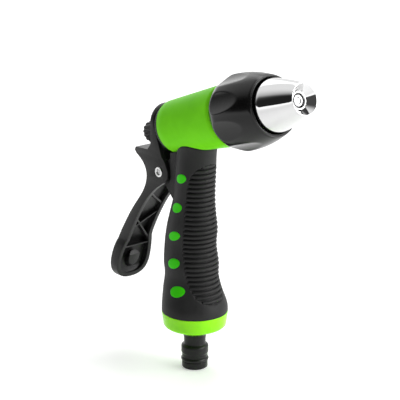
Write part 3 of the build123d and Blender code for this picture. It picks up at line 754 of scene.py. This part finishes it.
def ribTree(material):
    tree = bpy.data.node_groups.new("ribsAlongGrip", "GeometryNodeTree")
    tree.is_modifier = True
    face = tree.interface
    face.new_socket("Geometry", in_out="INPUT", socket_type="NodeSocketGeometry")
    face.new_socket("Rib radius", in_out="INPUT", socket_type="NodeSocketFloat")
    face.new_socket("Rib sides", in_out="INPUT", socket_type="NodeSocketInt")
    face.new_socket("Geometry", in_out="OUTPUT", socket_type="NodeSocketGeometry")
    start = tree.nodes.new("NodeGroupInput")
    end = tree.nodes.new("NodeGroupOutput")
    toCurve = tree.nodes.new("GeometryNodeMeshToCurve")
    circle = tree.nodes.new("GeometryNodeCurvePrimitiveCircle")
    sweep = tree.nodes.new("GeometryNodeCurveToMesh")
    sweep.inputs["Fill Caps"].default_value = True
    realize = tree.nodes.new("GeometryNodeRealizeInstances")
    paint = tree.nodes.new("GeometryNodeSetMaterial")
    paint.inputs["Material"].default_value = material
    for source, target in (
        (start.outputs["Geometry"], toCurve.inputs["Mesh"]),
        (toCurve.outputs["Curve"], sweep.inputs["Curve"]),
        (start.outputs["Rib radius"], circle.inputs["Radius"]),
        (start.outputs["Rib sides"], circle.inputs["Resolution"]),
        (circle.outputs["Curve"], sweep.inputs["Profile Curve"]),
        (sweep.outputs["Mesh"], realize.inputs["Geometry"]),
        (realize.outputs["Geometry"], paint.inputs["Geometry"]),
        (paint.outputs["Geometry"], end.inputs["Geometry"]),
    ):
        tree.links.new(source, target)
    return tree


def plainMesh(name, base, tree, **inputs):
    # Runs a node tree on a base mesh and keeps its result as a plain mesh.
    carrier = carrierFor(name, base)
    modifier = carrier.modifiers.new("nodes", "NODES")
    modifier.node_group = tree
    for item in tree.interface.items_tree:
        if item.item_type == "SOCKET" and item.in_out == "INPUT" and item.name in inputs:
            modifier[item.identifier] = inputs[item.name]
    return evaluated(carrier, name)


ribs = plainMesh("gripRibs", ribPaths(), ribTree(materials["rubberBlack"]),
                 **{"Rib radius": grip["ribHalf"] * mm, "Rib sides": grip["ribSides"]})
finished("gripRibs", ribs, "rubberBlack", "body", angle=60)
print("grip made")

# Oval studs on each side: X, height, half length, half height, rise in degrees.
studs = [(0.8, 117.2, 4.8, 3.0, 20), (-2.2, 99.5, 5.1, 3.2, 17), (-2.3, 83.0, 5.6, 3.0, 19),
         (-1.8, 66.7, 5.5, 3.4, 19), (2.2, 50.7, 5.7, 3.7, 12)]
studForm = {"around": 48, "rings": 6, "crown": 0.16, "edgeDrop": 0.5, "depth": 2.2}


def studPoint(side, x, height, lift):
    centre, halfX, halfY = sectionAt(height)
    across = max(-0.98, min(0.98, (x - centre) / halfX))
    return Vector((x, side * (halfY * sqrt(1 - across ** 2) + lift), height)) * mm


def studMesh():
    mesh = bmesh.new()
    around, rings = studForm["around"], studForm["rings"]
    for side in (-1, 1):
        for x, height, halfX, halfZ, rise in studs:
            lean = radians(rise)
            loops = []

            def edgePoint(k, share, lift):
                turn = 2 * pi * k / around
                alongX, alongZ = halfX * share * cos(turn), halfZ * share * sin(turn)
                return studPoint(side, x + alongX * cos(lean) - alongZ * sin(lean),
                                 height + alongX * sin(lean) + alongZ * cos(lean), lift)

            for ring in range(1, rings + 1):
                share = ring / rings
                lift = studForm["crown"] * sqrt(max(0.0, 1 - share ** 6))
                lift -= studForm["edgeDrop"] if ring == rings else 0.0
                loops.append([mesh.verts.new(edgePoint(k, share, lift)) for k in range(around)])
            foot = [mesh.verts.new(edgePoint(k, 1.0, -studForm["depth"])) for k in range(around)]
            loops.append(foot)
            middle = mesh.verts.new(studPoint(side, x, height, studForm["crown"]))
            bottom = mesh.verts.new(studPoint(side, x, height, -studForm["depth"]))
            for k in range(around):
                n = (k + 1) % around
                mesh.faces.new((middle, loops[0][k], loops[0][n]))
                mesh.faces.new((bottom, foot[n], foot[k]))
                for a, b in zip(loops, loops[1:]):
                    mesh.faces.new((a[k], b[k], b[n], a[n]))
    bmesh.ops.recalc_face_normals(mesh, faces=mesh.faces)
    return meshFrom("gripStuds", mesh)


finished("gripStuds", studMesh(), "studGreen", "body", ["handle_core"], angle=50)
print("studs made")


def mergedCopy(node, reach):
    # A frame node's loose triangles, joined up so that they shade smoothly.
    mesh = bmesh.new()
    mesh.from_mesh(frame["nodes"][node].data)
    bmesh.ops.remove_doubles(mesh, verts=mesh.verts, dist=reach)
    return mesh


def softCopy(node, width, angle=28):
    # A frame node's mesh, merged and given small bevels.
    mesh = mergedCopy(node, 3e-6)
    bmesh.ops.dissolve_limit(mesh, angle_limit=radians(1.0), verts=mesh.verts, edges=mesh.edges)
    carrier = carrierFor(node, meshFrom(node + "Copy", mesh))
    bevel = carrier.modifiers.new("edges", "BEVEL")
    bevel.width = width * mm
    bevel.segments = 3
    bevel.limit_method = "ANGLE"
    bevel.angle_limit = radians(angle)
    bevel.harden_normals = False
    return evaluated(carrier, node + "Soft")


edgeRounding = {"trigger": 0.45, "spring": 0.1}
finished("triggerLever", softCopy("trigger", edgeRounding["trigger"]),
         "mouldedBlack", "trigger",
         ["trigger"], angle=30)
print("trigger made")

# The return spring, on the body, given a mesh of its own.
spring = finished("returnSpring", softCopy("return_spring", edgeRounding["spring"]), "steel", "body",
                  ["return_spring"], angle=50)
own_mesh(spring)
print("return spring made")

finished("barrelCasting", meshFrom("castingCopy", mergedCopy("body_casting", 2e-6)), "paintGreen", "body",
         ["body_casting"], angle=35)
print("casting made")

# Materials of the pieces that the frame gives.
slotMaterial = {
    "painted_casting": "paintGreen",
    "black_plastic": "mouldedBlack",
    "collar_plastic": "collarBlack",
    "grip_rubber": "rubberBlack",
    "green_plastic": "studGreen",
    "ring_plastic": "ringGreen",
    "chrome": "chrome",
    "steel": "steel",
    "brass": "brass",
    "seal_rubber": "sealBlack",
}
for entry in frame["record"]["subparts"]:
    node = frame["nodes"][entry["node"]]
    node.data.materials.clear()
    node.data.materials.append(materials[slotMaterial[entry["material_slot"]]])

# A pale floor that shines a little by itself, more so away from the object.
studio = {"half": 3.0, "glowNear": 0.28, "glowFar": 0.9, "from": 0.4, "to": 1.3}


def floorMaterial():
    material, shader, place = newMaterial("studioFloor")
    length = place.node("ShaderNodeVectorMath", {"operation": "LENGTH"}, i0=place)
    away = place.get(length, "Value").between(studio["from"], studio["to"])
    linked(
        shader, place,
        Base_Color=place.noise(3, 2).ramp([(0.3, grey(0.9)), (0.7, grey(0.93))]),
        Roughness=0.6,
        Emission_Color=away.ramp([(0, grey(studio["glowNear"])), (1, grey(studio["glowFar"]))]),
    )
    shader.inputs["Specular IOR Level"].default_value = 0.2
    shader.inputs["Emission Strength"].default_value = 1.0
    return material


def floorPiece():
    half = studio["half"]
    mesh = bpy.data.meshes.new("studioFloor")
    corners = [(-half, -half, 0), (half, -half, 0), (half, half, 0), (-half, half, 0)]
    mesh.from_pydata(corners, [], [(0, 1, 2, 3)])
    mesh.materials.append(floorMaterial())
    floor = bpy.data.objects.new("studioFloor", mesh)
    bpy.context.scene.collection.objects.link(floor)


floorPiece()

# White to the camera. For everything else it is bright behind and above, and dim on the camera's side.
skyLight = {"dim": 0.08, "bright": 1.05, "towards": (-0.68, 0.42, 0.6), "from": 0.15, "to": 0.8}
sideCard = {"towards": (0.76, 0.62, 0.19), "from": 0.75, "to": 0.92, "share": 1.3}
darkCard = {"towards": (-0.43, -0.87, 0.22), "from": 0.9, "to": 0.97, "share": 0.75}


def skyWorld():
    world = bpy.data.worlds.new("studioLight")
    world.use_nodes = True
    tree = world.node_tree
    place = Socket(tree, tree.nodes.new("ShaderNodeTexCoord").outputs["Generated"])

    def facing(spot):
        made = place.node("ShaderNodeVectorMath", {"operation": "DOT_PRODUCT"}, i0=place, i1=spot["towards"])
        return place.get(made, "Value").between(spot["from"], spot["to"])

    glow = skyLight["dim"] + (skyLight["bright"] - skyLight["dim"]) * facing(skyLight)
    glow = (glow + sideCard["share"] * facing(sideCard)) * (1 - darkCard["share"] * facing(darkCard))
    seen = place.get(tree.nodes.new("ShaderNodeLightPath"), "Is Camera Ray")
    background = tree.nodes["Background"]
    background.inputs["Color"].default_value = (1, 1, 1, 1)
    tree.links.new((seen + (1 - seen) * glow).out, background.inputs["Strength"])
    return world


bpy.context.scene.world = skyWorld()


def aimed(name, data, target, azimuth, elevation, distance):
    # A lamp or camera that looks at the target from a distance. Azimuth 0 is on the -Y side.
    turn, rise = radians(azimuth), radians(elevation)
    made = bpy.data.objects.new(name, data)
    bpy.context.scene.collection.objects.link(made)
    made.location = target + distance * Vector((sin(turn) * cos(rise), -cos(turn) * cos(rise), sin(rise)))
    made.rotation_euler = (target - made.location).to_track_quat("-Z", "Y").to_euler()
    return made


# Soft boxes: name, azimuth, elevation, distance, width, height, power.
softBoxes = [
    ("keyLight", 135, 35, 1.0, 0.5, 0.5, 4),
    ("sideLight", 112, 8, 1.0, 0.35, 0.8, 5),
    ("fillLight", -110, 25, 1.1, 0.6, 0.9, 1.3),
    ("topLight", 223, 59, 1.0, 0.35, 0.35, 1.2),
]
lightAim = Vector((0, 0, 0.09))
for name, azimuth, elevation, distance, width, height, power in softBoxes:
    light = bpy.data.lights.new(name, "AREA")
    light.shape = "RECTANGLE"
    light.size = width
    light.size_y = height
    light.energy = power
    aimed(name, light, lightAim, azimuth, elevation, distance)

view = {"azimuth": 49.29, "elevation": 17.96, "distance": 0.9, "height": 0.085, "lens": 140.79,
        "sensor": 36, "shiftX": 0.013, "shiftY": 0.0722}
lens = bpy.data.cameras.new("camera")
lens.lens = view["lens"]
lens.sensor_width = view["sensor"]
lens.shift_x = view["shiftX"]
lens.shift_y = view["shiftY"]
camera = aimed("camera", lens, Vector((0, 0, view["height"])), view["azimuth"], view["elevation"],
               view["distance"])
bpy.context.scene.camera = camera
bpy.context.scene.view_settings.view_transform = "Standard"
print("studio made")
